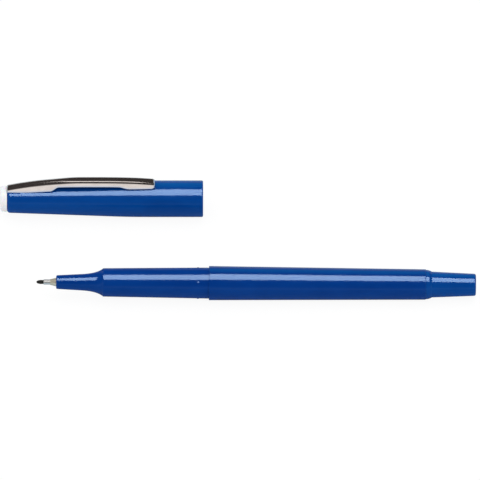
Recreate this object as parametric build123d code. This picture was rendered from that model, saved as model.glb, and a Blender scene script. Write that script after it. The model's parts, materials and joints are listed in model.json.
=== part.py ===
from build123d import *
import math
import os

# A fineliner pen with its cap taken off, both lying on a table. Lengths are in millimetres.
# Each piece is drawn along its own axis, X, with the nib towards -X. The barrel's front edge is x = 0,
# and so is the cap's mouth when the cap is pushed home against that edge.

# Barrel: a moulded tube, widest at its front edge
BARREL_LENGTH = 64.9
BARREL_FRONT_DIAMETER = 10.25
BARREL_REAR_DIAMETER = 9.1
BARREL_WALL = 0.9
BARREL_EDGE_ROUND = 0.2
RIB_COUNT = 4
RIB_HEIGHT = 0.6
RIB_WIDTH = 0.8

# Grip section: nose, shoulder and grip in one moulding, with a spigot that is pressed into the barrel
GRIP_LENGTH = 31.65
GRIP_REAR_DIAMETER = 9.3
SHOULDER_DIAMETER = 8.5
FLARE_LENGTH = 6.35
FLARE_CORNER = 4.6
FLARE_DIAMETER = 4.94
NOSE_LENGTH = 7.75
NOSE_DIAMETER = 4.1
NOSE_ROUND = 0.3
GRIP_END_WALL = 2.0
SPIGOT_LENGTH = 7.0
SPIGOT_WALL = 0.9
NIB_PASSAGE_CLEARANCE = 0.3

# Nubs: four low domes near the grip's rear that hold the cap, turned as the pen has rolled to rest
NUB_COUNT = 4
NUB_TURN_DEGREES = 48.0
NUB_BACK = 3.3
NUB_HEIGHT = 0.15
NUB_DIAMETER = 0.9

# Point: a capillary nib in a metal tube, carried by a metal cone in the nose
NIB_DIAMETER = 1.2
NIB_REACH = 2.15
NIB_BITE = 5.0
TUBE_WALL = 0.17
TUBE_REACH = 1.95
CONE_LENGTH = 1.8
CONE_LIP = 0.08
CONE_DIAMETER = 2.6
SHANK_LENGTH = 5.0

# Reservoir: a fibre bundle in a film sleeve, held by the barrel's ribs and the grip's bore
FILM = 0.1
SLEEVE_CLEARANCE = 0.05
RESERVOIR_PLAY = 0.2

# Tail plug: a hollow moulding pressed into the barrel's rear
PLUG_SPIGOT_LENGTH = 7.0
TAIL_SHOULDER_LENGTH = 1.8
TAIL_SHOULDER_DIAMETER = 8.8
TAIL_LENGTH = 13.2
TAIL_ROOT_DIAMETER = 7.75
TAIL_END_DIAMETER = 6.6
TAIL_ROUND = 0.6
TAIL_WALL = 1.0
TAIL_END_WALL = 1.5

# Cap shell: a moulding that slides over the nubs, straight at its mouth and tapered to its closed end
CAP_LENGTH = 58.95
CAP_STRAIGHT = 22.5
CAP_BLEND_RADIUS = 300.0
CAP_SLIDE_CLEARANCE = 0.05
CAP_WALL = 0.7
CAP_END_DIAMETER = 8.46
CAP_END_WALL = 2.0
CAP_END_ROUND = 0.9
CAP_MOUTH_ROUND = 0.45

# Inner cap: a soft cup in the cap that seals round the nose
SEAL_REACH = 7.25
SEAL_CLEARANCE = 0.05
INNER_CAP_WALL = 0.8
INNER_CAP_BASE = 1.2
INNER_CAP_CLEARANCE = 0.03

# Cap end plug: its spigot is pressed into the cap's end, and its head traps the clip's tab
END_PLUG_DIAMETER = 7.8
END_PLUG_HEIGHT = 2.0
END_PLUG_ROUND = 0.7
END_PLUG_SPIGOT_DIAMETER = 5.6

# Clip: one sheet-metal channel, with heights measured from the cap's axis
CLIP_WIDTH = 3.6
CLIP_SHEET = 0.4
CLIP_BEND = 0.55
CLIP_ROOT_BEND = 0.3
CLIP_GAP = 0.06
CLIP_LENGTH = 44.1
CLIP_ROOT_HEIGHT = 4.25
CLIP_CREST_HEIGHT = 7.9
CLIP_TIP_HEIGHT = 6.95
CLIP_CREST_FROM_ROOT = 28.9
CLIP_SADDLE_LENGTH = 13.0
CLIP_PAD_LENGTH = 7.0
CLIP_PAD_ROUND = 0.9
CLIP_SEAT_LENGTH = 4.0
ARCH_HEIGHT = 6.3
ARCH_ROOT_RUN = 2.1
ARCH_TIP_RUN = 2.4
ARCH_ROUND = 1.0

# How the two lie: the cap beside the pen, with its mouth a little short of the barrel's front edge
CAP_AHEAD = 1.8
CAP_ASIDE = 37.4

# Every cut runs this far past the surface that it opens
OVERRUN = 1.0


def along(start, end, x):
    """The radius at x on a straight taper between two (x, radius) points."""
    (x0, r0), (x1, r1) = start, end
    return r0 + (r1 - r0) * (x - x0) / (x1 - x0)


def turned(edges):
    """A solid of revolution about the X axis, from a closed outline of edges in (x, radius)."""
    return revolve(make_face(edges), Axis.X)


def turned_points(points, rounds=()):
    """A solid of revolution from corner points in (x, radius). rounds pairs corners with their radii."""
    face = make_face(Polyline(*points, close=True))
    for corner, radius in rounds:
        face = fillet(face.vertices().sort_by_distance(corner)[0], radius)
    return revolve(face, Axis.X)


def tube(start, end, outer, inner):
    """A plain round tube between two places on the X axis."""
    return turned_points([(start, inner), (start, outer), (end, outer), (end, inner)])


# Places along the pen and radii that several pieces share
nib_radius = NIB_DIAMETER / 2
tube_radius = nib_radius + TUBE_WALL
cone_radius = CONE_DIAMETER / 2
barrel_front = (0, BARREL_FRONT_DIAMETER / 2)
barrel_rear = (BARREL_LENGTH, BARREL_REAR_DIAMETER / 2)
barrel_bore = barrel_rear[1] - BARREL_WALL
sleeve_radius = barrel_bore - RIB_HEIGHT - SLEEVE_CLEARANCE
grip_bore = sleeve_radius + SLEEVE_CLEARANCE
spigot_radius = grip_bore + SPIGOT_WALL
shoulder = (-GRIP_LENGTH, SHOULDER_DIAMETER / 2)
grip_rear = (0, GRIP_REAR_DIAMETER / 2)
flare = (-GRIP_LENGTH - FLARE_LENGTH, FLARE_DIAMETER / 2)
nose = (flare[0] - NOSE_LENGTH, NOSE_DIAMETER / 2)
cone_front = nose[0] - CONE_LENGTH
tube_front = cone_front - TUBE_REACH
nib_tip = tube_front - NIB_REACH
shank_rear = nose[0] + SHANK_LENGTH
reservoir_front = -GRIP_LENGTH + GRIP_END_WALL
plug_front = BARREL_LENGTH - PLUG_SPIGOT_LENGTH
reservoir_rear = plug_front - RESERVOIR_PLAY
tail_end = BARREL_LENGTH + TAIL_SHOULDER_LENGTH + TAIL_LENGTH


def make_barrel():
    """A tapered tube with a wider socket for the grip's spigot and ribs that centre the reservoir."""
    rear_bore = (BARREL_LENGTH, barrel_bore)
    socket = [(SPIGOT_LENGTH, barrel_bore), (SPIGOT_LENGTH, spigot_radius), (0, spigot_radius)]
    edges = [(barrel_front, BARREL_EDGE_ROUND), (barrel_rear, BARREL_EDGE_ROUND)]
    shell = turned_points([barrel_front, barrel_rear, rear_bore, *socket], edges)
    rib_length = plug_front - SPIGOT_LENGTH
    rib_depth = RIB_HEIGHT + BARREL_WALL / 2
    rib = Pos(SPIGOT_LENGTH, 0, grip_bore) * Box(
        rib_length, RIB_WIDTH, rib_depth, align=(Align.MIN, Align.CENTER, Align.MIN)
    )
    for turn in range(RIB_COUNT):
        shell += Rot(X=360 * turn / RIB_COUNT) * rib
    return shell


def make_nubs():
    """Low domes round the grip, each the top of a ball sunk in the wall."""
    ball_radius = (NUB_HEIGHT**2 + NUB_DIAMETER**2 / 4) / (2 * NUB_HEIGHT)
    height = along(shoulder, grip_rear, -NUB_BACK) + NUB_HEIGHT - ball_radius
    ball = Pos(-NUB_BACK, 0, height) * Sphere(ball_radius)
    return [Rot(X=NUB_TURN_DEGREES + 360 * turn / NUB_COUNT) * ball for turn in range(NUB_COUNT)]


def make_grip_section():
    """Nose cone, a curve that flares to the sharp shoulder, the grip's long taper and the spigot."""
    corner_x = flare[0] + FLARE_CORNER
    corner = (corner_x, along(nose, flare, corner_x))
    spigot = [(0, spigot_radius), (SPIGOT_LENGTH, spigot_radius), (SPIGOT_LENGTH, 0)]
    outline = [
        Line((nose[0], 0), nose),
        Line(nose, flare),
        Bezier(flare, corner, shoulder),
        Line(shoulder, grip_rear),
        Polyline(grip_rear, *spigot),
        Line((SPIGOT_LENGTH, 0), (nose[0], 0)),
    ]
    face = make_face(outline)
    face = fillet(face.vertices().sort_by_distance(nose)[0], NOSE_ROUND)
    body = revolve(face, Axis.X)
    for nub in make_nubs():
        body += nub
    passage_radius = nib_radius + NIB_PASSAGE_CLEARANCE
    hollow = [
        (nose[0] - OVERRUN, 0),
        (nose[0] - OVERRUN, cone_radius),
        (shank_rear, cone_radius),
        (shank_rear, passage_radius),
        (reservoir_front, passage_radius),
        (reservoir_front, grip_bore),
        (SPIGOT_LENGTH + OVERRUN, grip_bore),
        (SPIGOT_LENGTH + OVERRUN, 0),
    ]
    return body - turned_points(hollow)


def make_ferrule_cone():
    """A cone whose shank is pressed into the nose, bored for the nib's tube."""
    return turned_points(
        [
            (cone_front, tube_radius),
            (cone_front, tube_radius + CONE_LIP),
            (nose[0], cone_radius),
            (shank_rear, cone_radius),
            (shank_rear, tube_radius),
        ]
    )


def make_fibre_nib():
    """A rod with a ball-shaped point, whose rear end pierces the reservoir."""
    rear = reservoir_front + NIB_BITE
    tip, root = (nib_tip, 0), (nib_tip + nib_radius, nib_radius)
    outline = [
        TangentArc(root, tip, tangent=(-nib_radius, 0)),
        Polyline(root, (rear, nib_radius), (rear, 0), tip),
    ]
    return turned(outline)


def make_ink_reservoir():
    """A fibre bundle with the blind hole that the nib makes in it."""
    hole_end = reservoir_front + NIB_BITE
    radius = sleeve_radius - FILM
    return turned_points(
        [
            (reservoir_front, nib_radius),
            (reservoir_front, radius),
            (reservoir_rear, radius),
            (reservoir_rear, 0),
            (hole_end, 0),
            (hole_end, nib_radius),
        ]
    )


def make_tail_plug():
    """A hollow spigot, a rounded shoulder that meets the barrel's rear edge and a tapered tail."""
    seam = (BARREL_LENGTH, TAIL_SHOULDER_DIAMETER / 2)
    root = (BARREL_LENGTH + TAIL_SHOULDER_LENGTH, TAIL_ROOT_DIAMETER / 2)
    end = (tail_end, TAIL_END_DIAMETER / 2)
    bore = end[1] - TAIL_WALL
    hollow_end = tail_end - TAIL_END_WALL
    spigot = [(BARREL_LENGTH, barrel_bore), (plug_front, barrel_bore), (plug_front, bore)]
    outline = [
        Polyline(seam, *spigot, (hollow_end, bore), (hollow_end, 0), (tail_end, 0), end, root),
        TangentArc(seam, root, tangent=(TAIL_SHOULDER_LENGTH, 0)),
    ]
    face = make_face(outline)
    face = fillet(face.vertices().sort_by_distance(end)[0], TAIL_ROUND)
    return revolve(face, Axis.X)


# Places and radii of the cap. Its bore clears the tips of the nubs.
cap_bore = along(shoulder, grip_rear, -NUB_BACK) + NUB_HEIGHT + CAP_SLIDE_CLEARANCE
mouth = (0, cap_bore + CAP_WALL)
taper_start = (-CAP_STRAIGHT, cap_bore + CAP_WALL)
cap_end = (-CAP_LENGTH, CAP_END_DIAMETER / 2)
bore_start = (-CAP_STRAIGHT, cap_bore)
bore_end = (-CAP_LENGTH, CAP_END_DIAMETER / 2 - CAP_WALL)
cap_floor = -CAP_LENGTH + CAP_END_WALL
end_spigot = END_PLUG_SPIGOT_DIAMETER / 2


def cap_envelope(room):
    """The cap's outer form, grown all round by room, less the clip root's seat and its tab's pocket."""
    (x0, r0), (x1, r1), (x2, r2) = mouth, taper_start, cap_end
    axis_points = [(x2 - room, 0), (x0, 0)]
    corners = [(x0, r0 + room), (x1, r1 + room), (x2 - room, r2 + room)]
    rounds = [(corners[1], CAP_BLEND_RADIUS), (corners[2], CAP_END_ROUND + room)]
    seat_width = CLIP_WIDTH + 2 * (CLIP_GAP - room)
    seat_floor = CLIP_ROOT_HEIGHT - CLIP_SHEET - CLIP_GAP + room
    seat = Pos(x2 - OVERRUN, 0, seat_floor) * Box(
        CLIP_SEAT_LENGTH + OVERRUN - room,
        seat_width,
        r1,
        align=(Align.MIN, Align.CENTER, Align.MIN),
    )
    pocket = Pos(x2 - OVERRUN, 0, 0) * Box(
        CLIP_SHEET + 2 * CLIP_GAP + OVERRUN,
        CLIP_WIDTH + 2 * CLIP_GAP,
        r1,
        align=(Align.MIN, Align.CENTER, Align.MIN),
    )
    return turned_points([*axis_points, *corners], rounds) - seat - pocket


def make_cap_shell():
    """The tapered cap with its bore and the hole for the end plug."""
    body = cap_envelope(0)
    rim = body.edges().filter_by(GeomType.CIRCLE).sort_by(Axis.X)[-1]
    body = fillet(rim, CAP_MOUTH_ROUND)
    floor_radius = along(bore_start, bore_end, cap_floor)
    hollow = [
        (OVERRUN, 0),
        (OVERRUN, cap_bore),
        bore_start,
        (cap_floor, floor_radius),
        (cap_floor, end_spigot),
        (-CAP_LENGTH - OVERRUN, end_spigot),
        (-CAP_LENGTH - OVERRUN, 0),
    ]
    return body - turned_points(hollow)


def make_inner_cap():
    """A cup whose lip slides over the nose, on a tapered base that fills the cap's closed end."""
    lip = nose[0] + SEAL_REACH
    bore = along(nose, flare, lip) + SEAL_CLEARANCE
    outer = bore + INNER_CAP_WALL
    base = cap_floor + INNER_CAP_BASE
    floor_radius = along(bore_start, bore_end, cap_floor) - INNER_CAP_CLEARANCE
    base_radius = along(bore_start, bore_end, base) - INNER_CAP_CLEARANCE
    return turned_points(
        [
            (lip, bore),
            (lip, outer),
            (base, outer),
            (base, base_radius),
            (cap_floor, floor_radius),
            (cap_floor, 0),
            (base, 0),
            (base, bore),
        ]
    )


def make_cap_end_plug():
    """A round-edged head on a spigot that fills the hole in the cap's end."""
    head_end = -CAP_LENGTH - END_PLUG_HEIGHT
    corner = (head_end, END_PLUG_DIAMETER / 2)
    points = [
        (head_end, 0),
        corner,
        (-CAP_LENGTH, END_PLUG_DIAMETER / 2),
        (-CAP_LENGTH, end_spigot),
        (cap_floor, end_spigot),
        (cap_floor, 0),
    ]
    return turned_points(points, [(corner, END_PLUG_ROUND)])


# The clip's places along the cap, and the axis that its arm springs about
clip_root = -CAP_LENGTH + CLIP_GAP
clip_tip = clip_root + CLIP_LENGTH
clip_crest = (clip_root + CLIP_CREST_FROM_ROOT, CLIP_CREST_HEIGHT)
clip_axis_place = (clip_root + CLIP_SHEET / 2, 0, CLIP_ROOT_HEIGHT - CLIP_SHEET / 2)


def clip_profile(depth):
    """Two edges that follow the clip's top at a depth under it: two arcs, level at the crest."""
    crest = (clip_crest[0], clip_crest[1] - depth)
    root = (clip_root + depth, CLIP_ROOT_HEIGHT - depth)
    tip = (clip_tip - depth, CLIP_TIP_HEIGHT - depth)
    rise = TangentArc(crest, root, tangent=(-CLIP_CREST_FROM_ROOT, 0))
    fall = TangentArc(crest, tip, tangent=(CLIP_LENGTH - CLIP_CREST_FROM_ROOT, 0))
    return root, tip, [rise, fall]


def make_clip():
    """A channel: a side outline drawn out to the width, hollowed under its top and fitted to the cap."""
    root, tip, top = clip_profile(0)
    tab_low = end_spigot + CLIP_GAP
    pad_low = math.sqrt(taper_start[1] ** 2 - (CLIP_WIDTH / 2) ** 2)
    arch_root = clip_root + CLIP_SADDLE_LENGTH + ARCH_ROOT_RUN
    arch_tip = clip_tip - CLIP_PAD_LENGTH - ARCH_TIP_RUN
    saddle_low = CLIP_ROOT_HEIGHT - CLIP_SHEET
    pad_corner = (clip_tip, pad_low)
    bends = [
        (clip_tip - CLIP_PAD_LENGTH, pad_low),
        (arch_tip, ARCH_HEIGHT),
        (arch_root, ARCH_HEIGHT),
        (clip_root + CLIP_SADDLE_LENGTH, saddle_low),
    ]
    tab = [
        (clip_root + CLIP_SHEET, saddle_low),
        (clip_root + CLIP_SHEET, tab_low),
        (clip_root, tab_low),
    ]
    face = make_face([*top, Polyline(tip, pad_corner, *bends, *tab, root)])
    rounds = [(pad_corner, CLIP_PAD_ROUND)]
    rounds += [(bend, ARCH_ROUND) for bend in bends]
    for corner, radius in rounds:
        face = fillet(face.vertices().sort_by_distance(corner)[0], radius)
    side = Plane.XZ * face
    body = extrude(side, CLIP_WIDTH / 2, both=True)
    arcs = body.edges().filter_by(GeomType.CIRCLE)
    long_arcs = arcs.filter_by(lambda edge: edge.radius > CLIP_LENGTH)
    body = fillet(long_arcs, CLIP_BEND)
    root_edges = body.edges().filter_by(Axis.Y).group_by(Axis.X)[0]
    body = fillet(root_edges.sort_by(Axis.Z)[-1], CLIP_ROOT_BEND)
    inner_root, inner_tip, inner_top = clip_profile(CLIP_SHEET)
    down = Polyline(inner_tip, (inner_tip[0], 0), (inner_root[0], 0), inner_root)
    under = Plane.XZ * make_face([*inner_top, down])
    body -= extrude(under, CLIP_WIDTH / 2 - CLIP_SHEET, both=True)
    return body - cap_envelope(CLIP_GAP)


def lie_down(pen_pieces, cap_pieces):
    """Where pen and cap lie: on one table, the barrel on its taper, about the middle of their box."""
    pitch = math.atan2(barrel_front[1] - barrel_rear[1], BARREL_LENGTH)
    pen_place = Location((0, 0, barrel_front[1] * math.cos(pitch)), (0, math.degrees(pitch), 0))
    cap_place = Location((-CAP_AHEAD, CAP_ASIDE, mouth[1]))
    boxes = [(pen_place * piece).bounding_box() for piece in pen_pieces.values()]
    boxes += [(cap_place * piece).bounding_box() for piece in cap_pieces.values()]
    middle_x = (min(box.min.X for box in boxes) + max(box.max.X for box in boxes)) / 2
    middle_y = (min(box.min.Y for box in boxes) + max(box.max.Y for box in boxes)) / 2
    to_origin = Pos(-middle_x, -middle_y, -min(box.min.Z for box in boxes))
    return to_origin * pen_place, to_origin * cap_place


pen = {
    "barrel": make_barrel(),
    "grip_section": make_grip_section(),
    "ferrule_cone": make_ferrule_cone(),
    "nib_tube": tube(tube_front, shank_rear, tube_radius, nib_radius),
    "fibre_nib": make_fibre_nib(),
    "ink_reservoir": make_ink_reservoir(),
    "reservoir_sleeve": tube(reservoir_front, reservoir_rear, sleeve_radius, sleeve_radius - FILM),
    "tail_plug": make_tail_plug(),
}
cap = {
    "cap_shell": make_cap_shell(),
    "inner_cap": make_inner_cap(),
    "cap_end_plug": make_cap_end_plug(),
    "clip": make_clip(),
}
pen_place, cap_place = lie_down(pen, cap)
pieces = {name: pen_place * piece for name, piece in pen.items()}
pieces.update({name: cap_place * piece for name, piece in cap.items()})

os.makedirs("parts", exist_ok=True)
for name, piece in pieces.items():
    export_step(piece, f"parts/{name}.step")
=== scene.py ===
import json
import math

import bpy
import numpy as np
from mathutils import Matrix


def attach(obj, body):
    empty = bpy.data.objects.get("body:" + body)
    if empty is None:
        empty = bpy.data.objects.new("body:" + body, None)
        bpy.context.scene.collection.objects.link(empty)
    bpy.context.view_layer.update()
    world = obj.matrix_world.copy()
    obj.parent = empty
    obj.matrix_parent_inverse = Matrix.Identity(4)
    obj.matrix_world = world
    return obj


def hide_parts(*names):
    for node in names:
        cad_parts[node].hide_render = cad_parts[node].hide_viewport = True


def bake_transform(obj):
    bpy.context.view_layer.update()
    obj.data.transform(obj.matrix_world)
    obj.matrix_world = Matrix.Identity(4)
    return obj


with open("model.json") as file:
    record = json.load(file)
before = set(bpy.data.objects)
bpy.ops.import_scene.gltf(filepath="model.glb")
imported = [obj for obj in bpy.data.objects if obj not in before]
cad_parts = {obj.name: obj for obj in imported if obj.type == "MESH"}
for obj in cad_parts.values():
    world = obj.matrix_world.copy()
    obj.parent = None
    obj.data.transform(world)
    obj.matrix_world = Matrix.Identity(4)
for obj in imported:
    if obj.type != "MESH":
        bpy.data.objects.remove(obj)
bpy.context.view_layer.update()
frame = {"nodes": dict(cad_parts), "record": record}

# Barrel: the long tube that is held when writing, moulded in glossy blue polystyrene, which looks darker
# where the inked fibres lie behind it. It is widest at its front edge, where the grip's spigot is pressed
# in, and tapers to the rear.
MM = 0.001
PEN_LENGTH_BEHIND_STEP = 79.9
BARREL_LENGTH, BARREL_FRONT, BARREL_REAR = 64.9, 5.125, 4.55
BARREL_BORE, SPIGOT, SPIGOT_LENGTH = 3.65, 3.95, 7.0
BARREL_FRONT_ROUND, BARREL_REAR_ROUND = 0.1, 0.2
ROUND_COLUMNS = 192
NO_LENGTH, SAME_POINT, WELDS_PER_METRE = 1e-9, 1e-5, 1e8
FULLY_RUBBED_TURN = 0.12
BLUE_OVER_INK = (0.0006, 0.0310, 0.1970), (0.0010, 0.0370, 0.2190)
WORN_BLUE, WORN_SHARE = (0.02, 0.13, 0.40), 0.35
GLOSS_TINT = (0.42, 0.76, 1.0, 1)
mounts = {mount["name"]: mount for mount in frame["record"]["mounts"]}
pen_along = np.array(mounts["tail_end"]["axis"], float)
pen_across = np.array([0.0, 1.0, 0.0])
pen_axes = np.array([pen_along, pen_across, np.cross(pen_along, pen_across)])
pen_start = np.array(mounts["tail_end"]["pos_m"]) - pen_along * PEN_LENGTH_BEHIND_STEP * MM


def on_pen(points):
    """Frame places of pen points in mm: start + x along the pen's axis + y across + z up."""
    return pen_start + (points * MM) @ pen_axes


def rounded(corners, steps=9):
    """A closed outline from rows of (x, radius from the axis, corner round).

    Each round is an arc about c = p + (a + b) / |a + b| * R / sin(half angle), where a and b point along
    the corner's two sides. Its points are c + (sin((1 - s) w) n0 + sin(s w) n1) / sin(w), s from 0 to 1.
    """
    corners = np.asarray(corners, float)
    point, radius = corners[:, :2], corners[:, 2:]
    a = np.roll(point, 1, 0) - point
    b = np.roll(point, -1, 0) - point
    a /= np.linalg.norm(a, axis=1, keepdims=True)
    b /= np.linalg.norm(b, axis=1, keepdims=True)
    half = np.arccos(np.clip((a * b).sum(1, keepdims=True), -1, 1)) / 2
    middle = a + b
    middle /= np.maximum(np.linalg.norm(middle, axis=1, keepdims=True), NO_LENGTH)
    centre = point + middle * radius / np.sin(half)
    n0 = point + a * radius / np.tan(half) - centre
    n1 = point + b * radius / np.tan(half) - centre
    sweep = (math.pi - 2 * half)[:, None]
    s = np.linspace(0, 1, steps)[None, :, None]
    arc = np.sin((1 - s) * sweep) * n0[:, None] + np.sin(s * sweep) * n1[:, None]
    outline = (centre[:, None] + arc / np.maximum(np.sin(sweep), NO_LENGTH)).reshape(-1, 2)
    apart = np.linalg.norm(outline - np.roll(outline, 1, 0), axis=1)
    return outline[apart > SAME_POINT]


def supported(outline, reach=0.04):
    """The same outline with two more points in each run, close to its ends, which keep shading crisp."""
    run = np.roll(outline, -1, 0) - outline
    share = np.minimum(reach / np.linalg.norm(run, axis=1, keepdims=True), 1 / 3)
    return np.stack([outline, outline + run * share, outline + run * (1 - share)], 1).reshape(-1, 2)


def skin_mesh(name, grid, wear_and_reflection, wrap_rows=True, wrap_columns=True):
    """A piece from a grid of places (rows, columns, 3): quads between neighbours, welded where they meet.

    The last argument is a grid of values from 0 to 1: on turned pieces it says where hands and pockets
    polish the surface, and on the clip it says where a reflection of the blue cap is painted.
    """
    rows, columns = grid.shape[:2]
    row_starts, column_starts = np.arange(rows - (not wrap_rows)), np.arange(columns - (not wrap_columns))
    i, j = np.meshgrid(row_starts, column_starts, indexing="ij")
    i1, j1 = (i + 1) % rows, (j + 1) % columns
    around = [(i, j), (i, j1), (i1, j1), (i1, j)]
    quads = np.stack([row * columns + column for row, column in around], -1).reshape(-1, 4)
    keys = np.round(grid.reshape(-1, 3) * WELDS_PER_METRE).astype(np.int64)
    _, first, back = np.unique(keys, axis=0, return_index=True, return_inverse=True)
    quads = back.reshape(-1)[quads]
    same = quads == np.roll(quads, -1, 1)
    whole = quads[same.sum(1) == 0]
    corner = quads[same.sum(1) == 1][~same[same.sum(1) == 1]].reshape(-1, 3)
    used = np.unique(np.concatenate([whole.ravel(), corner.ravel()]))
    order = np.zeros(len(first), int)
    order[used] = np.arange(len(used))
    mesh = bpy.data.meshes.new(name)
    faces = order[whole].tolist() + order[corner].tolist()
    mesh.from_pydata(grid.reshape(-1, 3)[first[used]].tolist(), [], faces)
    mesh.polygons.foreach_set("use_smooth", np.ones(len(mesh.polygons), bool))
    wear_and_reflection_layer = mesh.attributes.new("wear_and_reflection", "FLOAT", "POINT")
    wear_and_reflection_of_points = np.broadcast_to(wear_and_reflection, grid.shape[:2]).reshape(-1)[first[used]]
    wear_and_reflection_layer.data.foreach_set("value", wear_and_reflection_of_points.astype(np.float32))
    piece = bpy.data.objects.new(name, mesh)
    bpy.context.scene.collection.objects.link(piece)
    return piece


def turned_grid(outline, angles):
    """Points (x, r sin t, r cos t) of an outline of (x, r) at the angles t, and the rub of its corners."""
    area = (outline[:, 0] * np.roll(outline[:, 1], -1) - np.roll(outline[:, 0], -1) * outline[:, 1]).sum()
    outline = outline if area > 0 else outline[::-1]
    x, r = outline[:, :1], outline[:, 1:]
    grid = np.stack(np.broadcast_arrays(x, r * np.sin(angles), r * np.cos(angles)), -1)
    before = outline - np.roll(outline, 1, 0)
    after = np.roll(outline, -1, 0) - outline
    turn = np.arctan2(before[:, 0] * after[:, 1] - before[:, 1] * after[:, 0], (before * after).sum(1))
    return grid, np.clip(turn / FULLY_RUBBED_TURN, 0, 1)[:, None]


def turned_piece(name, outline, place, finish, body, node):
    """A piece turned about its axis from a closed outline. It replaces a node, with its body and slot."""
    angles = np.linspace(0, 2 * math.pi, ROUND_COLUMNS, endpoint=False)
    grid, wear_and_reflection = turned_grid(supported(outline), angles)
    piece = skin_mesh(name, place(grid), wear_and_reflection)
    piece.data.materials.append(finish)
    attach(piece, body)
    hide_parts(node)
    return piece


def new_finish(name, **sockets):
    """A material with a Principled shader whose even values are set on its own sockets."""
    finish = bpy.data.materials.new(name)
    finish.use_nodes = True
    shader = finish.node_tree.nodes["Principled BSDF"]
    for socket, value in sockets.items():
        shader.inputs[socket.replace("_", " ")].default_value = value
    return finish, finish.node_tree, shader


def add(tree, kind, links=(), sockets=(), **settings):
    """A node with its settings, its fixed sockets and the links (socket, source output) that feed it."""
    node = tree.nodes.new("ShaderNode" + kind)
    for key, value in settings.items():
        setattr(node, key, value)
    for socket, value in sockets:
        node.inputs[socket].default_value = value
    for socket, source in links:
        tree.links.new(source, node.inputs[socket])
    return node


def grain(tree, stretch, scale, detail=4.0, roughness=0.55):
    """Noise on Object coordinates in metres, stretched along X, Y and Z. Returns its Fac output."""
    coords = add(tree, "TexCoord")
    mapped = add(tree, "Mapping", [("Vector", coords.outputs["Object"])], [("Scale", stretch)])
    sockets = [("Scale", scale), ("Detail", detail), ("Roughness", roughness)]
    return add(tree, "TexNoise", [("Vector", mapped.outputs["Vector"])], sockets).outputs["Fac"]


def spread(tree, source, low, high, start=0.0, end=1.0):
    """Maps a value from start..end to low..high."""
    sockets = [("From Min", start), ("From Max", end), ("To Min", low), ("To Max", high)]
    return add(tree, "MapRange", [("Value", source)], sockets).outputs["Result"]


def tones(tree, source, dark, light):
    """A colour between dark and light by a value from 0 to 1."""
    mix = add(tree, "Mix", [("Factor", source)], data_type="RGBA")
    mix.inputs["A"].default_value = (*dark, 1)
    mix.inputs["B"].default_value = (*light, 1)
    return mix.outputs["Result"]


def blended(tree, factor, colour, other):
    """A colour output that goes over to a fixed colour by a factor."""
    mix = add(tree, "Mix", [("Factor", factor), ("A", colour)], data_type="RGBA")
    mix.inputs["B"].default_value = (*other, 1)
    return mix.outputs["Result"]


def relief(tree, shader, height, strength, depth):
    """Bump from a height, of a real depth in mm."""
    bump = add(tree, "Bump", [("Height", height)], [("Strength", strength), ("Distance", depth * MM)])
    tree.links.new(bump.outputs["Normal"], shader.inputs["Normal"])


def blue_moulding(name, deep, pale):
    """Glossy blue plastic: slight clouds of pigment, fine rubs along the pen and paler, duller edges."""
    finish, tree, shader = new_finish(name, IOR=1.52, Specular_Tint=GLOSS_TINT, Specular_IOR_Level=0.2)
    cloud = grain(tree, stretch=(0.35, 1, 1), scale=260.0, detail=3.0)
    colour = tones(tree, spread(tree, cloud, low=0, high=1, start=0.35, end=0.65), deep, pale)
    wear_and_reflection = add(tree, "Attribute", attribute_name="wear_and_reflection").outputs["Fac"]
    scuffs = grain(tree, stretch=(0.05, 1, 1), scale=5200.0, detail=2.0)
    patches = spread(tree, scuffs, low=0, high=1, start=0.4, end=0.7)
    edge = add(tree, "Math", [(0, wear_and_reflection), (1, patches)], operation="MULTIPLY").outputs["Value"]
    edge_share = spread(tree, edge, low=0, high=WORN_SHARE)
    tree.links.new(blended(tree, edge_share, colour, WORN_BLUE), shader.inputs["Base Color"])
    dull = spread(tree, scuffs, low=0.08, high=0.17, start=0.3, end=0.75)
    handled = add(tree, "Math", [(0, dull), (1, edge_share)], operation="ADD").outputs["Value"]
    tree.links.new(handled, shader.inputs["Roughness"])
    ripple = grain(tree, stretch=(0.2, 1, 1), scale=1400.0, detail=3.0)
    relief(tree, shader, ripple, strength=0.007, depth=0.04)
    return finish


filled_blue = blue_moulding("blue_over_ink", *BLUE_OVER_INK)
barrel_outline = rounded(
    [
        (0, BARREL_FRONT, BARREL_FRONT_ROUND),
        (BARREL_LENGTH, BARREL_REAR, BARREL_REAR_ROUND),
        (BARREL_LENGTH, BARREL_BORE, 0),
        (SPIGOT_LENGTH, BARREL_BORE, 0),
        (SPIGOT_LENGTH, SPIGOT, 0),
        (0, SPIGOT, 0),
    ]
)
barrel_skin = turned_piece(
    "barrel_tube", barrel_outline, on_pen, filled_blue, "pen", "barrel"
)


# Grip section: nose, flare, sharp shoulder and grip in one moulding of the same blue plastic. Its
# spigot is pressed into the barrel, and the metal point is pressed into its nose.
NOSE = (-45.75, 2.05)
FLARE, FLARE_CORNER = (-38.0, 2.47), 4.6
SHOULDER = (-31.65, 4.25)
GRIP_REAR = (0.0, 4.65)
NOSE_ROUND, SHOULDER_ROUND = 0.4, 0.06
GRIP_BORE, PASSAGE, CONE_SHANK = 3.05, 0.9, 1.3
RESERVOIR_FRONT, SHANK_REAR = -29.65, -40.75


def flare_curve(steps=30):
    """The flare: (1 - t)^2 a + 2 t (1 - t) c + t^2 b, where c lies on the nose's cone, run on past a."""
    a, b = np.array(FLARE), np.array(SHOULDER)
    slope = (FLARE[1] - NOSE[1]) / (FLARE[0] - NOSE[0])
    c = a + FLARE_CORNER * np.array([1, slope])
    t = np.linspace(0, 1, steps)[:, None]
    return (1 - t) ** 2 * a + 2 * t * (1 - t) * c + t**2 * b


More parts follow.
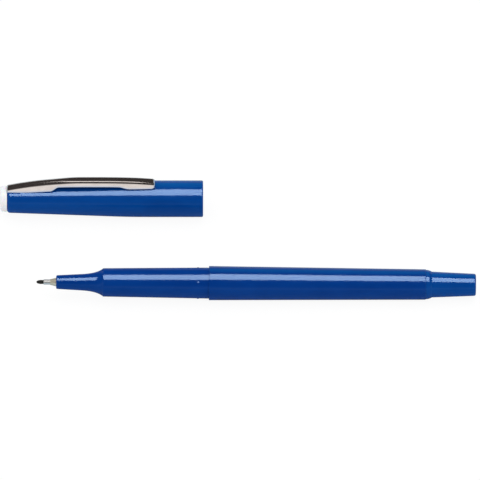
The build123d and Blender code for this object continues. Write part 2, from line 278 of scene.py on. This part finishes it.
grip_corners = [
    (*NOSE, NOSE_ROUND),
    *[(x, r, 0) for x, r in flare_curve()[:-1]],
    (*SHOULDER, SHOULDER_ROUND),
    (*GRIP_REAR, 0),
    (0, SPIGOT, 0),
    (SPIGOT_LENGTH, SPIGOT, 0),
    (SPIGOT_LENGTH, GRIP_BORE, 0),
    (RESERVOIR_FRONT, GRIP_BORE, 0),
    (RESERVOIR_FRONT, PASSAGE, 0),
    (SHANK_REAR, PASSAGE, 0),
    (SHANK_REAR, CONE_SHANK, 0),
    (NOSE[0], CONE_SHANK, 0),
]
turned_piece("grip", rounded(grip_corners), on_pen, filled_blue, "pen", "grip_section")


# Cap nubs: four low domes moulded on the grip, near its rear, on which the cap clicks home. Each is the
# same plastic as the grip and runs into it with a soft foot.
NUB_X, NUB_HEIGHT, NUB_FOOT = -3.3, 0.13, 0.55
NUB_BEDDED, NUB_ROOT_DEPTH = 0.004, 0.3
NUB_ANGLES = np.radians([-48.0, 42.0, 132.0, 222.0])
NUB_ROWS, NUB_COLUMNS = 14, 40


def nub_grid(angle):
    """A dome h (1 + cos(pi q / foot)) / 2 on the grip's cone, q from its middle, closed inside the wall."""
    q = np.linspace(0, NUB_FOOT, NUB_ROWS)[:, None]
    f = np.linspace(0, 2 * math.pi, NUB_COLUMNS, endpoint=False)[None, :]
    x = NUB_X + q * np.cos(f)
    base = GRIP_REAR[1] + (SHOULDER[1] - GRIP_REAR[1]) * x / SHOULDER[0]
    t = angle + q * np.sin(f) / GRIP_REAR[1]
    r = base + NUB_HEIGHT * (1 + np.cos(math.pi * q / NUB_FOOT)) / 2 - NUB_BEDDED
    dome = np.stack(np.broadcast_arrays(x, r * np.sin(t), r * np.cos(t)), -1)
    low = GRIP_REAR[1] - NUB_ROOT_DEPTH
    root = np.broadcast_to([NUB_X, low * math.sin(angle), low * math.cos(angle)], (1, NUB_COLUMNS, 3))
    return np.concatenate([dome, root])[::-1]


for number, angle in enumerate(NUB_ANGLES, 1):
    nub = skin_mesh(f"cap_nub_{number}", on_pen(nub_grid(angle)), 0.0, wrap_rows=False)
    nub.data.materials.append(filled_blue)
    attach(nub, "pen")


# Ferrule cone: a small turned metal cone, pale brass in tone, whose shank is pressed into the nose. It
# carries the nib's tube, and fine turning rings run round it.
CONE_FRONT, CONE_LIP_RADIUS, TUBE_RADIUS = -47.55, 0.85, 0.77
CONE_LIP_ROUND, CONE_FOOT_ROUND = 0.03, 0.04
PALE_BRASS = (0.63, 0.58, 0.45), (0.75, 0.70, 0.55)
cone_metal, cone_tree, cone_shader = new_finish("pale_turned_brass", Metallic=0.65)
rings = grain(cone_tree, stretch=(1, 0.02, 0.02), scale=9000.0, detail=2.0)
tarnish = grain(cone_tree, stretch=(1, 1, 1), scale=900.0)
cone_tree.links.new(tones(cone_tree, tarnish, *PALE_BRASS), cone_shader.inputs["Base Color"])
cone_tree.links.new(spread(cone_tree, rings, low=0.32, high=0.46), cone_shader.inputs["Roughness"])
relief(cone_tree, cone_shader, rings, strength=0.25, depth=0.02)
cone_outline = rounded(
    [
        (CONE_FRONT, TUBE_RADIUS, 0),
        (CONE_FRONT, CONE_LIP_RADIUS, CONE_LIP_ROUND),
        (NOSE[0], CONE_SHANK, CONE_FOOT_ROUND),
        (SHANK_REAR, CONE_SHANK, 0),
        (SHANK_REAR, TUBE_RADIUS, 0),
    ]
)
cone_skin = turned_piece(
    "point_cone", cone_outline, on_pen, cone_metal, "pen", "ferrule_cone"
)


# Nib tube: a drawn steel tube that guards the soft nib. It is pressed through the cone and its front
# edge is broken so that it doesn't catch the paper.
TUBE_FRONT, NIB_RADIUS = -49.5, 0.6
TUBE_INNER_ROUND, TUBE_OUTER_ROUND = 0.03, 0.06
DRAWN_STEEL = (0.66, 0.65, 0.63), (0.78, 0.77, 0.75)
tube_metal, tube_tree, tube_shader = new_finish("drawn_steel_tube", Metallic=0.85)
drawn = grain(tube_tree, stretch=(0.04, 1, 1), scale=14000.0, detail=2.0)
stain = grain(tube_tree, stretch=(1, 1, 1), scale=1500.0)
tube_tree.links.new(tones(tube_tree, stain, *DRAWN_STEEL), tube_shader.inputs["Base Color"])
tube_tree.links.new(spread(tube_tree, drawn, low=0.24, high=0.38), tube_shader.inputs["Roughness"])
relief(tube_tree, tube_shader, drawn, strength=0.2, depth=0.01)
tube_outline = rounded(
    [
        (TUBE_FRONT, NIB_RADIUS, TUBE_INNER_ROUND),
        (TUBE_FRONT, TUBE_RADIUS, TUBE_OUTER_ROUND),
        (SHANK_REAR, TUBE_RADIUS, 0),
        (SHANK_REAR, NIB_RADIUS, 0),
    ]
)
tube_skin = turned_piece(
    "nib_guard_tube", tube_outline, on_pen, tube_metal, "pen", "nib_tube"
)


# Fibre nib: a capillary rod of bonded fibres, ground to a bullet point and dark with ink. Its rear end
# reaches through the grip into the reservoir.
NIB_TIP, NIB_REAR, NIB_POINT_LENGTH, NIB_POINT_ROWS = -51.65, -24.65, 1.25, 24
INKED_FIBRE = (0.006, 0.006, 0.006), (0.034, 0.033, 0.030)
nib_fibre, nib_tree, nib_shader = new_finish("inked_fibre_nib", Specular_IOR_Level=0.08)
strands = grain(nib_tree, stretch=(0.08, 1, 1), scale=16000.0, detail=3.0)
strand_share = spread(nib_tree, strands, low=0, high=1, start=0.3, end=0.7)
nib_tree.links.new(tones(nib_tree, strand_share, *INKED_FIBRE), nib_shader.inputs["Base Color"])
nib_tree.links.new(spread(nib_tree, strands, low=0.5, high=0.8), nib_shader.inputs["Roughness"])
relief(nib_tree, nib_shader, strands, strength=0.5, depth=0.03)
point_turn = np.linspace(0, math.pi / 2, NIB_POINT_ROWS)
nib_point = np.stack(
    [NIB_TIP + NIB_POINT_LENGTH * (1 - np.cos(point_turn)), NIB_RADIUS * np.sin(point_turn)], -1
)
nib_outline = np.concatenate([nib_point, [(NIB_REAR, NIB_RADIUS), (NIB_REAR, 0)]])
turned_piece("bullet_nib", nib_outline, on_pen, nib_fibre, "pen", "fibre_nib")


# Ink reservoir: a bundle of polyester fibres soaked with blue ink. It lies in the barrel between the
# grip's bore and the tail plug, and the nib's rear end pierces it.
SOAKED_FIBRE = (0.003, 0.006, 0.05), (0.03, 0.05, 0.22)
ink_fibre, ink_tree, ink_shader = new_finish("ink_soaked_fibres", Roughness=0.85, Specular_IOR_Level=0.2)
bundle = grain(ink_tree, stretch=(0.02, 1, 1), scale=6000.0, detail=3.0)
bundle_share = spread(ink_tree, bundle, low=0, high=1, start=0.3, end=0.7)
ink_tree.links.new(tones(ink_tree, bundle_share, *SOAKED_FIBRE), ink_shader.inputs["Base Color"])
relief(ink_tree, ink_shader, bundle, strength=0.6, depth=0.06)
frame["nodes"]["ink_reservoir"].material_slots[0].material = ink_fibre


# Reservoir sleeve: a thin clear film that is shrunk round the fibre bundle and keeps the ink off the
# barrel's wall. It slides in between the barrel's ribs.
CLEAR_FILM = (0.55, 0.58, 0.66), (0.80, 0.81, 0.84)
sleeve_film, film_tree, film_shader = new_finish("clear_sleeve_film", IOR=1.5)
wrinkles = grain(film_tree, stretch=(0.3, 1, 1), scale=1800.0, detail=2.0)
film_tree.links.new(tones(film_tree, wrinkles, *CLEAR_FILM), film_shader.inputs["Base Color"])
film_tree.links.new(spread(film_tree, wrinkles, low=0.1, high=0.3), film_shader.inputs["Roughness"])
relief(film_tree, film_shader, wrinkles, strength=0.3, depth=0.05)
frame["nodes"]["reservoir_sleeve"].material_slots[0].material = sleeve_film


# Tail plug: a moulding of the same blue plastic, pressed into the barrel's rear. It is hollow, so it looks
# lighter than the barrel. A rounded shoulder leads to a tapered tail with a plain, round-edged end.
PLUG_FRONT, TAIL_SEAM, TAIL_ROOT, TAIL_END = 57.9, 4.4, (66.7, 3.875), (79.9, 3.3)
TAIL_ROUND, TAIL_BORE, TAIL_HOLLOW_END = 0.6, 2.3, 78.4
SEAM_ROUND, POINTS_IN_SEAM_ROUND = 0.08, 2
BLUE_OVER_HOLLOW = (0.0006, 0.0435, 0.2330), (0.0010, 0.0510, 0.2580)


def shoulder_arc(steps=18):
    """The shoulder: an arc that starts level at the seam and falls to the tail's root."""
    run, drop = TAIL_ROOT[0] - BARREL_LENGTH, TAIL_SEAM - TAIL_ROOT[1]
    radius = (run**2 + drop**2) / (2 * drop)
    f = np.linspace(0, math.asin(run / radius), steps)
    return np.stack([BARREL_LENGTH + radius * np.sin(f), TAIL_SEAM - radius * (1 - np.cos(f))], -1)


tail_corners = [
    (PLUG_FRONT, TAIL_BORE, 0),
    (PLUG_FRONT, BARREL_BORE, 0),
    (BARREL_LENGTH, BARREL_BORE, 0),
    (BARREL_LENGTH, TAIL_SEAM, SEAM_ROUND),
    *[(x, r, 0) for x, r in shoulder_arc()[POINTS_IN_SEAM_ROUND:]],
    (*TAIL_END, TAIL_ROUND),
    (TAIL_END[0], 0, 0),
    (TAIL_HOLLOW_END, 0, 0),
    (TAIL_HOLLOW_END, TAIL_BORE, 0),
]
hollow_blue = blue_moulding("blue_over_hollow", *BLUE_OVER_HOLLOW)
tail_skin = turned_piece(
    "tail", rounded(tail_corners), on_pen, hollow_blue, "pen", "tail_plug"
)


# Cap shell: a thin moulding of the same blue plastic, straight at its mouth and tapered to its closed
# end. A flat seat at the closed end takes the clip's root.
CAP_STRAIGHT, CAP_LENGTH = 22.5, 58.95
CAP_MOUTH, CAP_BORE, CAP_END = 5.5083, 4.8083, 4.23
CAP_FLOOR, END_SPIGOT = -56.95, 2.8
TAPER_ROUND, CAP_END_ROUND, MOUTH_ROUND, MOUTH_INNER_ROUND = 300.0, 0.9, 0.42, 0.15
SEAT_END, SEAT_FLOOR, SEAT_HALF_WIDTH, SEAT_STEP = -54.95, 3.79, 2.05, 0.002
cap_start = np.array(mounts["cap_mouth"]["pos_m"]) + np.array([CAP_STRAIGHT / 2 * MM, 0, 0])


def on_cap(points):
    """Frame places of cap points in mm: x along the cap from its mouth, y across, z up."""
    return cap_start + points * MM


def cap_radius(x):
    """The cap's outer radius: even up to the taper's start, then straight to the closed end."""
    share = np.clip((-CAP_STRAIGHT - x) / (CAP_LENGTH - CAP_STRAIGHT), 0, 1)
    return CAP_MOUTH + (CAP_END - CAP_MOUTH) * share


def cap_bore(x):
    """The bore's radius, which follows the outside at a constant wall."""
    return cap_radius(x) + CAP_BORE - CAP_MOUTH


cap_corners = [
    (0, CAP_MOUTH, MOUTH_ROUND),
    (-CAP_STRAIGHT, CAP_MOUTH, TAPER_ROUND),
    (SEAT_END, cap_radius(SEAT_END), 0),
    (SEAT_END - SEAT_STEP, cap_radius(SEAT_END - SEAT_STEP), 0),
    (-CAP_LENGTH, CAP_END, CAP_END_ROUND),
    (-CAP_LENGTH, END_SPIGOT, 0),
    (CAP_FLOOR, END_SPIGOT, 0),
    (CAP_FLOOR, cap_bore(CAP_FLOOR), 0),
    (-CAP_STRAIGHT, CAP_BORE, 0),
    (0, CAP_BORE, MOUTH_INNER_ROUND),
]
seat_turn = math.asin(SEAT_HALF_WIDTH / cap_radius(SEAT_END))
cap_angles = np.concatenate(
    [
        np.linspace(-math.pi, math.pi, ROUND_COLUMNS, endpoint=False),
        [-seat_turn - SEAT_STEP, -seat_turn, seat_turn, seat_turn + SEAT_STEP],
    ]
)
cap_angles.sort()
cap_grid, cap_rub = turned_grid(supported(rounded(cap_corners)), cap_angles)
on_seat = (cap_grid[..., 0] < SEAT_END - SEAT_STEP / 2) & (np.abs(cap_angles) < seat_turn + SEAT_STEP / 2)
cap_grid[..., 2] = np.where(on_seat, np.minimum(cap_grid[..., 2], SEAT_FLOOR), cap_grid[..., 2])
cap_skin = skin_mesh("cap_moulding", on_cap(cap_grid), cap_rub)
cap_skin.data.materials.append(hollow_blue)
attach(cap_skin, "cap")
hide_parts("cap_shell")


# Inner cap: a soft, milky polyethylene cup in the cap's closed end. Its lip slides over the nose when
# the cap is on and keeps the nib from drying out.
LIP, CUP_BORE, CUP_WALL, CUP_BASE, CUP_PLAY = -38.5, 2.493, 0.8, -55.75, 0.03
LIP_ROUND, CUP_FLOOR_ROUND = 0.2, 0.3
MILKY = (0.66, 0.67, 0.66), (0.80, 0.80, 0.77)
liner, liner_tree, liner_shader = new_finish(
    "milky_soft_liner", IOR=1.51, Subsurface_Weight=0.25, Subsurface_Scale=0.001
)
milk = grain(liner_tree, stretch=(1, 1, 1), scale=700.0)
pores = grain(liner_tree, stretch=(1, 1, 1), scale=5000.0)
liner_tree.links.new(tones(liner_tree, milk, *MILKY), liner_shader.inputs["Base Color"])
liner_tree.links.new(spread(liner_tree, milk, low=0.35, high=0.55), liner_shader.inputs["Roughness"])
relief(liner_tree, liner_shader, pores, strength=0.1, depth=0.03)
cup_corners = [
    (LIP, CUP_BORE, LIP_ROUND),
    (LIP, CUP_BORE + CUP_WALL, LIP_ROUND),
    (CUP_BASE, CUP_BORE + CUP_WALL, 0),
    (CUP_BASE, cap_bore(CUP_BASE) - CUP_PLAY, 0),
    (CAP_FLOOR, cap_bore(CAP_FLOOR) - CUP_PLAY, 0),
    (CAP_FLOOR, 0, 0),
    (CUP_BASE, 0, 0),
    (CUP_BASE, CUP_BORE, CUP_FLOOR_ROUND),
]
turned_piece("seal_cup", rounded(cup_corners), on_cap, liner, "cap", "inner_cap")


# Cap end plug: a pale moulded button whose spigot is pressed into the cap's end. Its head traps the
# clip's tab and has a soft, round edge.
PLUG_HEAD_END, PLUG_HEAD = -60.95, 3.9
PLUG_HEAD_ROUND, PLUG_COLLAR_ROUND = 0.7, 0.12
PALE = (0.81, 0.82, 0.84), (0.87, 0.87, 0.87)
pale_plastic, pale_tree, pale_shader = new_finish(
    "pale_end_button", Specular_IOR_Level=0.12, Subsurface_Weight=0.15, Subsurface_Scale=0.001
)
haze = grain(pale_tree, stretch=(1, 1, 1), scale=500.0)
eggshell = grain(pale_tree, stretch=(1, 1, 1), scale=4000.0)
pale_tree.links.new(tones(pale_tree, haze, *PALE), pale_shader.inputs["Base Color"])
pale_tree.links.new(spread(pale_tree, haze, low=0.34, high=0.48), pale_shader.inputs["Roughness"])
relief(pale_tree, pale_shader, eggshell, strength=0.08, depth=0.03)
button_outline = rounded(
    [
        (PLUG_HEAD_END, 0, 0),
        (PLUG_HEAD_END, PLUG_HEAD, PLUG_HEAD_ROUND),
        (-CAP_LENGTH, PLUG_HEAD, PLUG_COLLAR_ROUND),
        (-CAP_LENGTH, END_SPIGOT, 0),
        (CAP_FLOOR, END_SPIGOT, 0),
        (CAP_FLOOR, 0, 0),
    ]
)
turned_piece("end_button", button_outline, on_cap, pale_plastic, "cap", "cap_end_plug")


# Clip: one stamping of nickel-plated spring sheet, an open channel with a rounded top and splayed sides.
# Its folded root is trapped in the cap's end, its middle arches clear of the cap, and its tip comes down
# to the cap again. A paler, bluish tone is painted along the lower edges and on the rolled rim of the tip:
# a painted reflection of the blue cap and a painted highlight on the rim.
CLIP_ROOT, CLIP_TIP = -58.89, -14.45
CREST, ROOT_HEIGHT, TIP_HEIGHT = (-36.0, 7.9), 5.04, 7.12
RISE_POWER, FALL_POWER = 2.1, 3.5
ROOT_ROUND, TIP_ROUND = 0.3, 0.8
SHEET, TAB_LOW, TAB_HALF_WIDTH = 0.36, 2.86, 1.5
FLANGE = math.radians(67)
SADDLE_BEND, ARM_BEND, BEND_CHANGE = 1.4, 0.92, (-46.5, 9.5)
SADDLE_FLAT, ARM_FLAT, TIP_FLAT = 0.04, 0.59, 0.62
FLAT_CHANGE, TIP_CHANGE = (-46.5, 9.5), (-25.0, 10.0)
EDGE_HALF_WIDTH, CLIP_GAP, SPRUNG_GAP, SPRUNG_RISE = 1.95, 0.06, 0.38, (-55.0, 10.0)
ARM_DEPTH, ARCH_RISE, ARCH_FALL = 1.6, (-46.0, 2.6), (-25.4, 3.4)
TIP_LIFT, TIP_LIFT_RUN = 0.8, 1.5
# Bands where light is painted: a reflection of the blue cap along the lower edges, and a highlight on the
# tip's rim.
EDGE_REFLECTION_BAND, RIM_PAINTED_HIGHLIGHT = (0.15, 0.45), (-15.1, 0.35)
CLIP_COLUMNS, TOP_ROWS, BEND_ROWS, FLANGE_ROWS = 260, 6, 22, 16
# The second colour is the paler, bluish tone of the painted reflection of the blue cap.
NICKEL, PAINTED_CAP_REFLECTION = ((0.71, 0.63, 0.59), (0.81, 0.73, 0.69)), (0.60, 0.64, 0.75)


def eased(x, start, run):
    """A smooth step 3 t^2 - 2 t^3 from 0 at start to 1 after run."""
    t = np.clip((x - start) / run, 0, 1)
    return t * t * (3 - 2 * t)


def end_round(distance, radius):
    """How far a rounded end has fallen: radius less the height of a quarter circle."""
    inside = np.clip(radius - distance, 0, radius)
    return radius - np.sqrt(radius**2 - inside**2)


def clip_top(x):
    """The spine's height: the crest less drop x share^power on each side, with both ends rounded off."""
    rising = x < CREST[0]
    share = np.abs(x - CREST[0]) / np.abs(np.where(rising, CLIP_ROOT, CLIP_TIP) - CREST[0])
    drop = CREST[1] - np.where(rising, ROOT_HEIGHT, TIP_HEIGHT)
    ends = end_round(x - CLIP_ROOT, ROOT_ROUND) + end_round(CLIP_TIP - x, TIP_ROUND)
    return CREST[1] - drop * share ** np.where(rising, RISE_POWER, FALL_POWER) - ends


def clip_low(x):
    """The lower edge: sqrt(r^2 - half width^2) near the cap at both ends, one arm's depth under the spine
    between them, and lifted by a quarter ellipse at the tip."""
    near_cap = np.sqrt((cap_radius(x) + CLIP_GAP) ** 2 - EDGE_HALF_WIDTH**2)
    near_cap = near_cap + SPRUNG_GAP * eased(x, *SPRUNG_RISE)
    arch = eased(x, *ARCH_RISE) * (1 - eased(x, *ARCH_FALL))
    corner = np.clip((x - CLIP_TIP + TIP_LIFT_RUN) / TIP_LIFT_RUN, 0, 1)
    lift = TIP_LIFT * (1 - np.sqrt(1 - corner**2))
    return near_cap + (clip_top(x) - ARM_DEPTH - near_cap) * arch + lift


def clip_section(x, depth):
    """The clip's skin at a depth inside the sheet: one column for each x, rows from edge to edge.

    Half a section is a level strip, a bend about a radius R up to the flange's slope a, and the flange:
    (f, 0), then (f + R sin t, -R (1 - cos t)) for t from 0 to a, then a straight line at the slope a. Each
    point goes in by the depth along its normal (sin t, cos t).
    """
    flat = SADDLE_FLAT + (ARM_FLAT - SADDLE_FLAT) * eased(x, *FLAT_CHANGE)
    flat = flat + (TIP_FLAT - ARM_FLAT) * eased(x, *TIP_CHANGE)
    bend = SADDLE_BEND + (ARM_BEND - SADDLE_BEND) * eased(x, *BEND_CHANGE)
    drop = clip_top(x) - clip_low(x)
    bend_fall = bend * (1 - math.cos(FLANGE))
    level = np.linspace(0, 1, TOP_ROWS, endpoint=False)[:, None]
    turn = np.linspace(0, FLANGE, BEND_ROWS)[:, None]
    down = np.linspace(0, 1, FLANGE_ROWS)[1:, None] * np.maximum(drop - bend_fall, SHEET)
    bend_end = flat + bend * math.sin(FLANGE)
    across = np.concatenate([level * flat, flat + bend * np.sin(turn), bend_end + down / math.tan(FLANGE)])
    fall = np.concatenate([level * 0 * flat, bend * (1 - np.cos(turn)), bend_fall + down])
    tilt = np.concatenate([level * 0, turn, np.full((FLANGE_ROWS - 1, 1), FLANGE)])
    across = across - depth * np.sin(tilt)
    height = clip_top(x) - fall - depth * np.cos(tilt)
    half = np.stack([np.broadcast_to(x, across.shape), across, height], -1)
    return np.concatenate([half[:0:-1] * [1, -1, 1], half])


def clip_grid():
    """The clip's closed skin: its outside, then back along its inside, which stays clear of the cap.

    At the root both sides run down to the tab's lower edge. Both ends close in the middle of the sheet.
    """
    share = (1 - np.cos(np.linspace(0, math.pi, CLIP_COLUMNS))) / 2
    x = CLIP_ROOT + (CLIP_TIP - CLIP_ROOT) * share
    outer = clip_section(x, 0)
    inner = clip_section(np.maximum(x, CLIP_ROOT + SHEET), SHEET)
    rest = np.sqrt((cap_radius(inner[..., 0]) + CLIP_GAP) ** 2 - inner[..., 1] ** 2)
    lowest = np.where(inner[..., 0] > SEAT_END, rest, SEAT_FLOOR + CLIP_GAP)
    inner[..., 2] = np.maximum(inner[..., 2], lowest)
    tabs = [side[:, :1].copy() for side in (outer, inner)]
    for tab in tabs:
        tab[..., 1] = np.clip(tab[..., 1], -TAB_HALF_WIDTH, TAB_HALF_WIDTH)
        tab[..., 2] = TAB_LOW
    root = (tabs[0] + tabs[1]) / 2
    tip = (outer[:, -1:] + inner[:, -1:]) / 2
    outside = np.concatenate([root, tabs[0], outer, tip], 1)
    inside = np.concatenate([root, tabs[1], inner, tip], 1)
    return np.concatenate([outside, inside[::-1]])


nickel, nickel_tree, nickel_shader = new_finish("nickel_plated_sheet", Metallic=1.0)
brushed = grain(nickel_tree, stretch=(0.03, 1, 1), scale=9000.0, detail=3.0)
smudge = grain(nickel_tree, stretch=(0.5, 1, 1), scale=420.0, detail=3.0)
smudge_share = spread(nickel_tree, smudge, low=0, high=1, start=0.35, end=0.65)
# The clip's mask blends in a paler, bluish tone: a painted reflection of the blue cap on the lower edges
# and a painted highlight on the tip's rim.
painted_reflection_share = add(nickel_tree, "Attribute", attribute_name="wear_and_reflection").outputs["Fac"]
nickel_tone = blended(nickel_tree, painted_reflection_share, tones(nickel_tree, smudge_share, *NICKEL), PAINTED_CAP_REFLECTION)
nickel_tree.links.new(nickel_tone, nickel_shader.inputs["Base Color"])
nickel_tree.links.new(spread(nickel_tree, brushed, low=0.08, high=0.2), nickel_shader.inputs["Roughness"])
relief(nickel_tree, nickel_shader, brushed, strength=0.05, depth=0.01)
clip_places = clip_grid()
clip_along = clip_places[..., 0]
# Painted reflection mask: 1 within about half a millimetre of the lower edges and on the tip's rim, 0
# elsewhere.
painted_reflection_mask = 1 - eased(clip_places[..., 2] - clip_low(clip_along), *EDGE_REFLECTION_BAND)
painted_reflection_mask = np.maximum(painted_reflection_mask, eased(clip_along, *RIM_PAINTED_HIGHLIGHT))
clip_skin = skin_mesh("spring_clip", on_cap(clip_places), painted_reflection_mask, wrap_columns=False)
clip_skin.data.materials.append(nickel)
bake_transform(clip_skin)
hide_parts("clip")


# Table and room: a plain white table that keeps a faint shadow, in a room that is white to the camera.
# Polished metal and plastic mirror a greyish table, a white horizon and a dim ceiling.
TABLE_HALF = 3.0
PAPER, PAPER_IN_MIRRORS = (0.9, 0.9, 0.9), (0.34, 0.46, 0.54)
TABLE_GLOW, GLOW_SHARE = 1.01, 0.92
WHITE, ROOM_FILL = (1, 1, 1, 1), 0.7
HORIZON, UPPER_WALL, CEILING = (0.08, WHITE), (0.25, (0.25, 0.25, 0.25, 1)), (0.5, (0.037, 0.033, 0.033, 1))


def seen_directly(tree):
    """1 for what the camera sees, by itself or through a clear piece, and 0 for all other rays."""
    path = add(tree, "LightPath").outputs
    links = [(0, path["Is Camera Ray"]), (1, path["Is Transmission Ray"])]
    return add(tree, "Math", links, operation="MAXIMUM").outputs["Value"]


def in_mirrors(tree):
    """1 for what glossy surfaces mirror, and 0 for all other rays."""
    return add(tree, "LightPath").outputs["Is Glossy Ray"]


def mixed(tree, factor, first, second):
    """A shader that goes from the first to the second by a factor."""
    return add(tree, "MixShader", [(0, factor), (1, first), (2, second)]).outputs["Shader"]


def background(tree, strength, links=()):
    """The room's light of a strength, white or of a linked colour."""
    sockets = [("Color", WHITE), ("Strength", strength)]
    return add(tree, "Background", links, sockets).outputs["Background"]


table_corners = TABLE_HALF * np.array([[-1, -1, 0], [1, -1, 0], [1, 1, 0], [-1, 1, 0]])
table_mesh = bpy.data.meshes.new("table")
table_mesh.from_pydata(table_corners.tolist(), [], [(0, 1, 2, 3)])
table = bpy.data.objects.new("table", table_mesh)
bpy.context.scene.collection.objects.link(table)
table_white = bpy.data.materials.new("white_table")
table_white.use_nodes = True
table_white.cycles.emission_sampling = "NONE"
table_tree = table_white.node_tree
table_tree.nodes.clear()
paper_tone = tones(table_tree, in_mirrors(table_tree), PAPER, PAPER_IN_MIRRORS)
paper = add(table_tree, "BsdfDiffuse", [("Color", paper_tone)]).outputs["BSDF"]
glow = add(table_tree, "Emission", sockets=[("Strength", TABLE_GLOW)]).outputs["Emission"]
glow_share = spread(table_tree, seen_directly(table_tree), low=0, high=GLOW_SHARE)
add(table_tree, "OutputMaterial", [("Surface", mixed(table_tree, glow_share, paper, glow))])
table_mesh.materials.append(table_white)

room = bpy.data.worlds.new("room")
bpy.context.scene.world = room
room.use_nodes = True
room_tree = room.node_tree
room_tree.nodes.clear()
heading = add(room_tree, "TexCoord").outputs["Generated"]
rise = add(room_tree, "SeparateXYZ", [("Vector", heading)]).outputs["Z"]
ramp = add(room_tree, "ValToRGB", [("Fac", rise)])
stops = ramp.color_ramp.elements
stops[0].position, stops[0].color = HORIZON
stops[1].position, stops[1].color = CEILING
stops.new(UPPER_WALL[0]).color = UPPER_WALL[1]
mirrored = background(room_tree, 1.0, [("Color", ramp.outputs["Color"])])
lit_room = mixed(room_tree, in_mirrors(room_tree), background(room_tree, ROOM_FILL), mirrored)
seen_room = mixed(room_tree, seen_directly(room_tree), lit_room, background(room_tree, 1.0))
add(room_tree, "OutputWorld", [("Surface", seen_room)])


# Lamps: one large soft lamp overhead lights everything. Four softboxes are seen only as reflections: the
# long stripe on the blue plastic, the lighter upper side of barrel, tail and cap, the shine of the point's
# metal, and the shine of all other pieces.
def softbox(name, middle, size, radiance):
    """A level rectangular lamp that looks down. Its power is radiance x pi x area."""
    lamp = bpy.data.lights.new(name, "AREA")
    lamp.shape = "RECTANGLE"
    lamp.size, lamp.size_y = size
    lamp.energy = radiance * math.pi * size[0] * size[1]
    holder = bpy.data.objects.new(name, lamp)
    holder.location = middle
    holder.visible_camera = False
    bpy.context.scene.collection.objects.link(holder)
    return holder


def mirrored_box(name, mirrors, middle, size, radiance, colour=(1.0, 1.0, 1.0)):
    """A softbox that shows only as a reflection, and only in the pieces that are its mirrors."""
    box = softbox(name, middle, size, radiance)
    box.data.color = colour
    box.visible_diffuse = False
    lit = bpy.data.collections.new(name + "_pieces")
    for piece in mirrors:
        lit.objects.link(piece)
    box.light_linking.receiver_collection = lit


pieces = [thing for thing in bpy.context.scene.objects if thing.type == "MESH" and thing != table]
blue_pieces = [piece for piece in pieces if piece.active_material in (filled_blue, hollow_blue)]
point_pieces = [cone_skin, tube_skin]
other_pieces = [piece for piece in pieces if piece not in blue_pieces + point_pieces]
mirrored_box(
    "stripe_softbox",
    blue_pieces,
    middle=(0, -0.068, 0.6),
    size=(0.9, 0.432),
    radiance=29.8,
    colour=(1.0, 0.79, 0.77),
)
mirrored_box(
    "rear_softbox",
    [barrel_skin, tail_skin, cap_skin],
    middle=(0, 0.95, 0.6),
    size=(0.9, 1.2),
    radiance=1.7,
    colour=(0.05, 0.62, 1.0),
)
mirrored_box("point_softbox", point_pieces, middle=(-0.03, -0.068, 0.6), size=(0.26, 0.432), radiance=2.0)
mirrored_box("metal_softbox", other_pieces, middle=(-0.0535, 0.0, 0.6), size=(0.197, 0.3), radiance=1.0)
soft_light = softbox("overhead_light", middle=(0, -0.1, 0.9), size=(1.2, 1.2), radiance=1.3)
soft_light.visible_glossy = False


# Camera: it looks down at the pair from the pen's side, from far off and through a long lens, because
# the photograph shows almost no perspective.
VIEW_ELEVATION = math.radians(42)
VIEW_TARGET = np.array([0.0007, 0.00046, 0.00505])
VIEW_DISTANCE, VIEW_WIDTH, VIEW_END = 6.0, 0.144, 50.0
lens = bpy.data.cameras.new("camera")
lens.sensor_width = 36.0
lens.lens = lens.sensor_width * VIEW_DISTANCE / VIEW_WIDTH
lens.clip_end = VIEW_END
camera = bpy.data.objects.new("camera", lens)
to_camera = np.array([0, -math.cos(VIEW_ELEVATION), math.sin(VIEW_ELEVATION)])
camera.location = VIEW_TARGET + to_camera * VIEW_DISTANCE
camera.rotation_euler = (math.pi / 2 - VIEW_ELEVATION, 0, 0)
bpy.context.scene.collection.objects.link(camera)
bpy.context.scene.camera = camera
bpy.context.scene.view_settings.view_transform = "Standard"
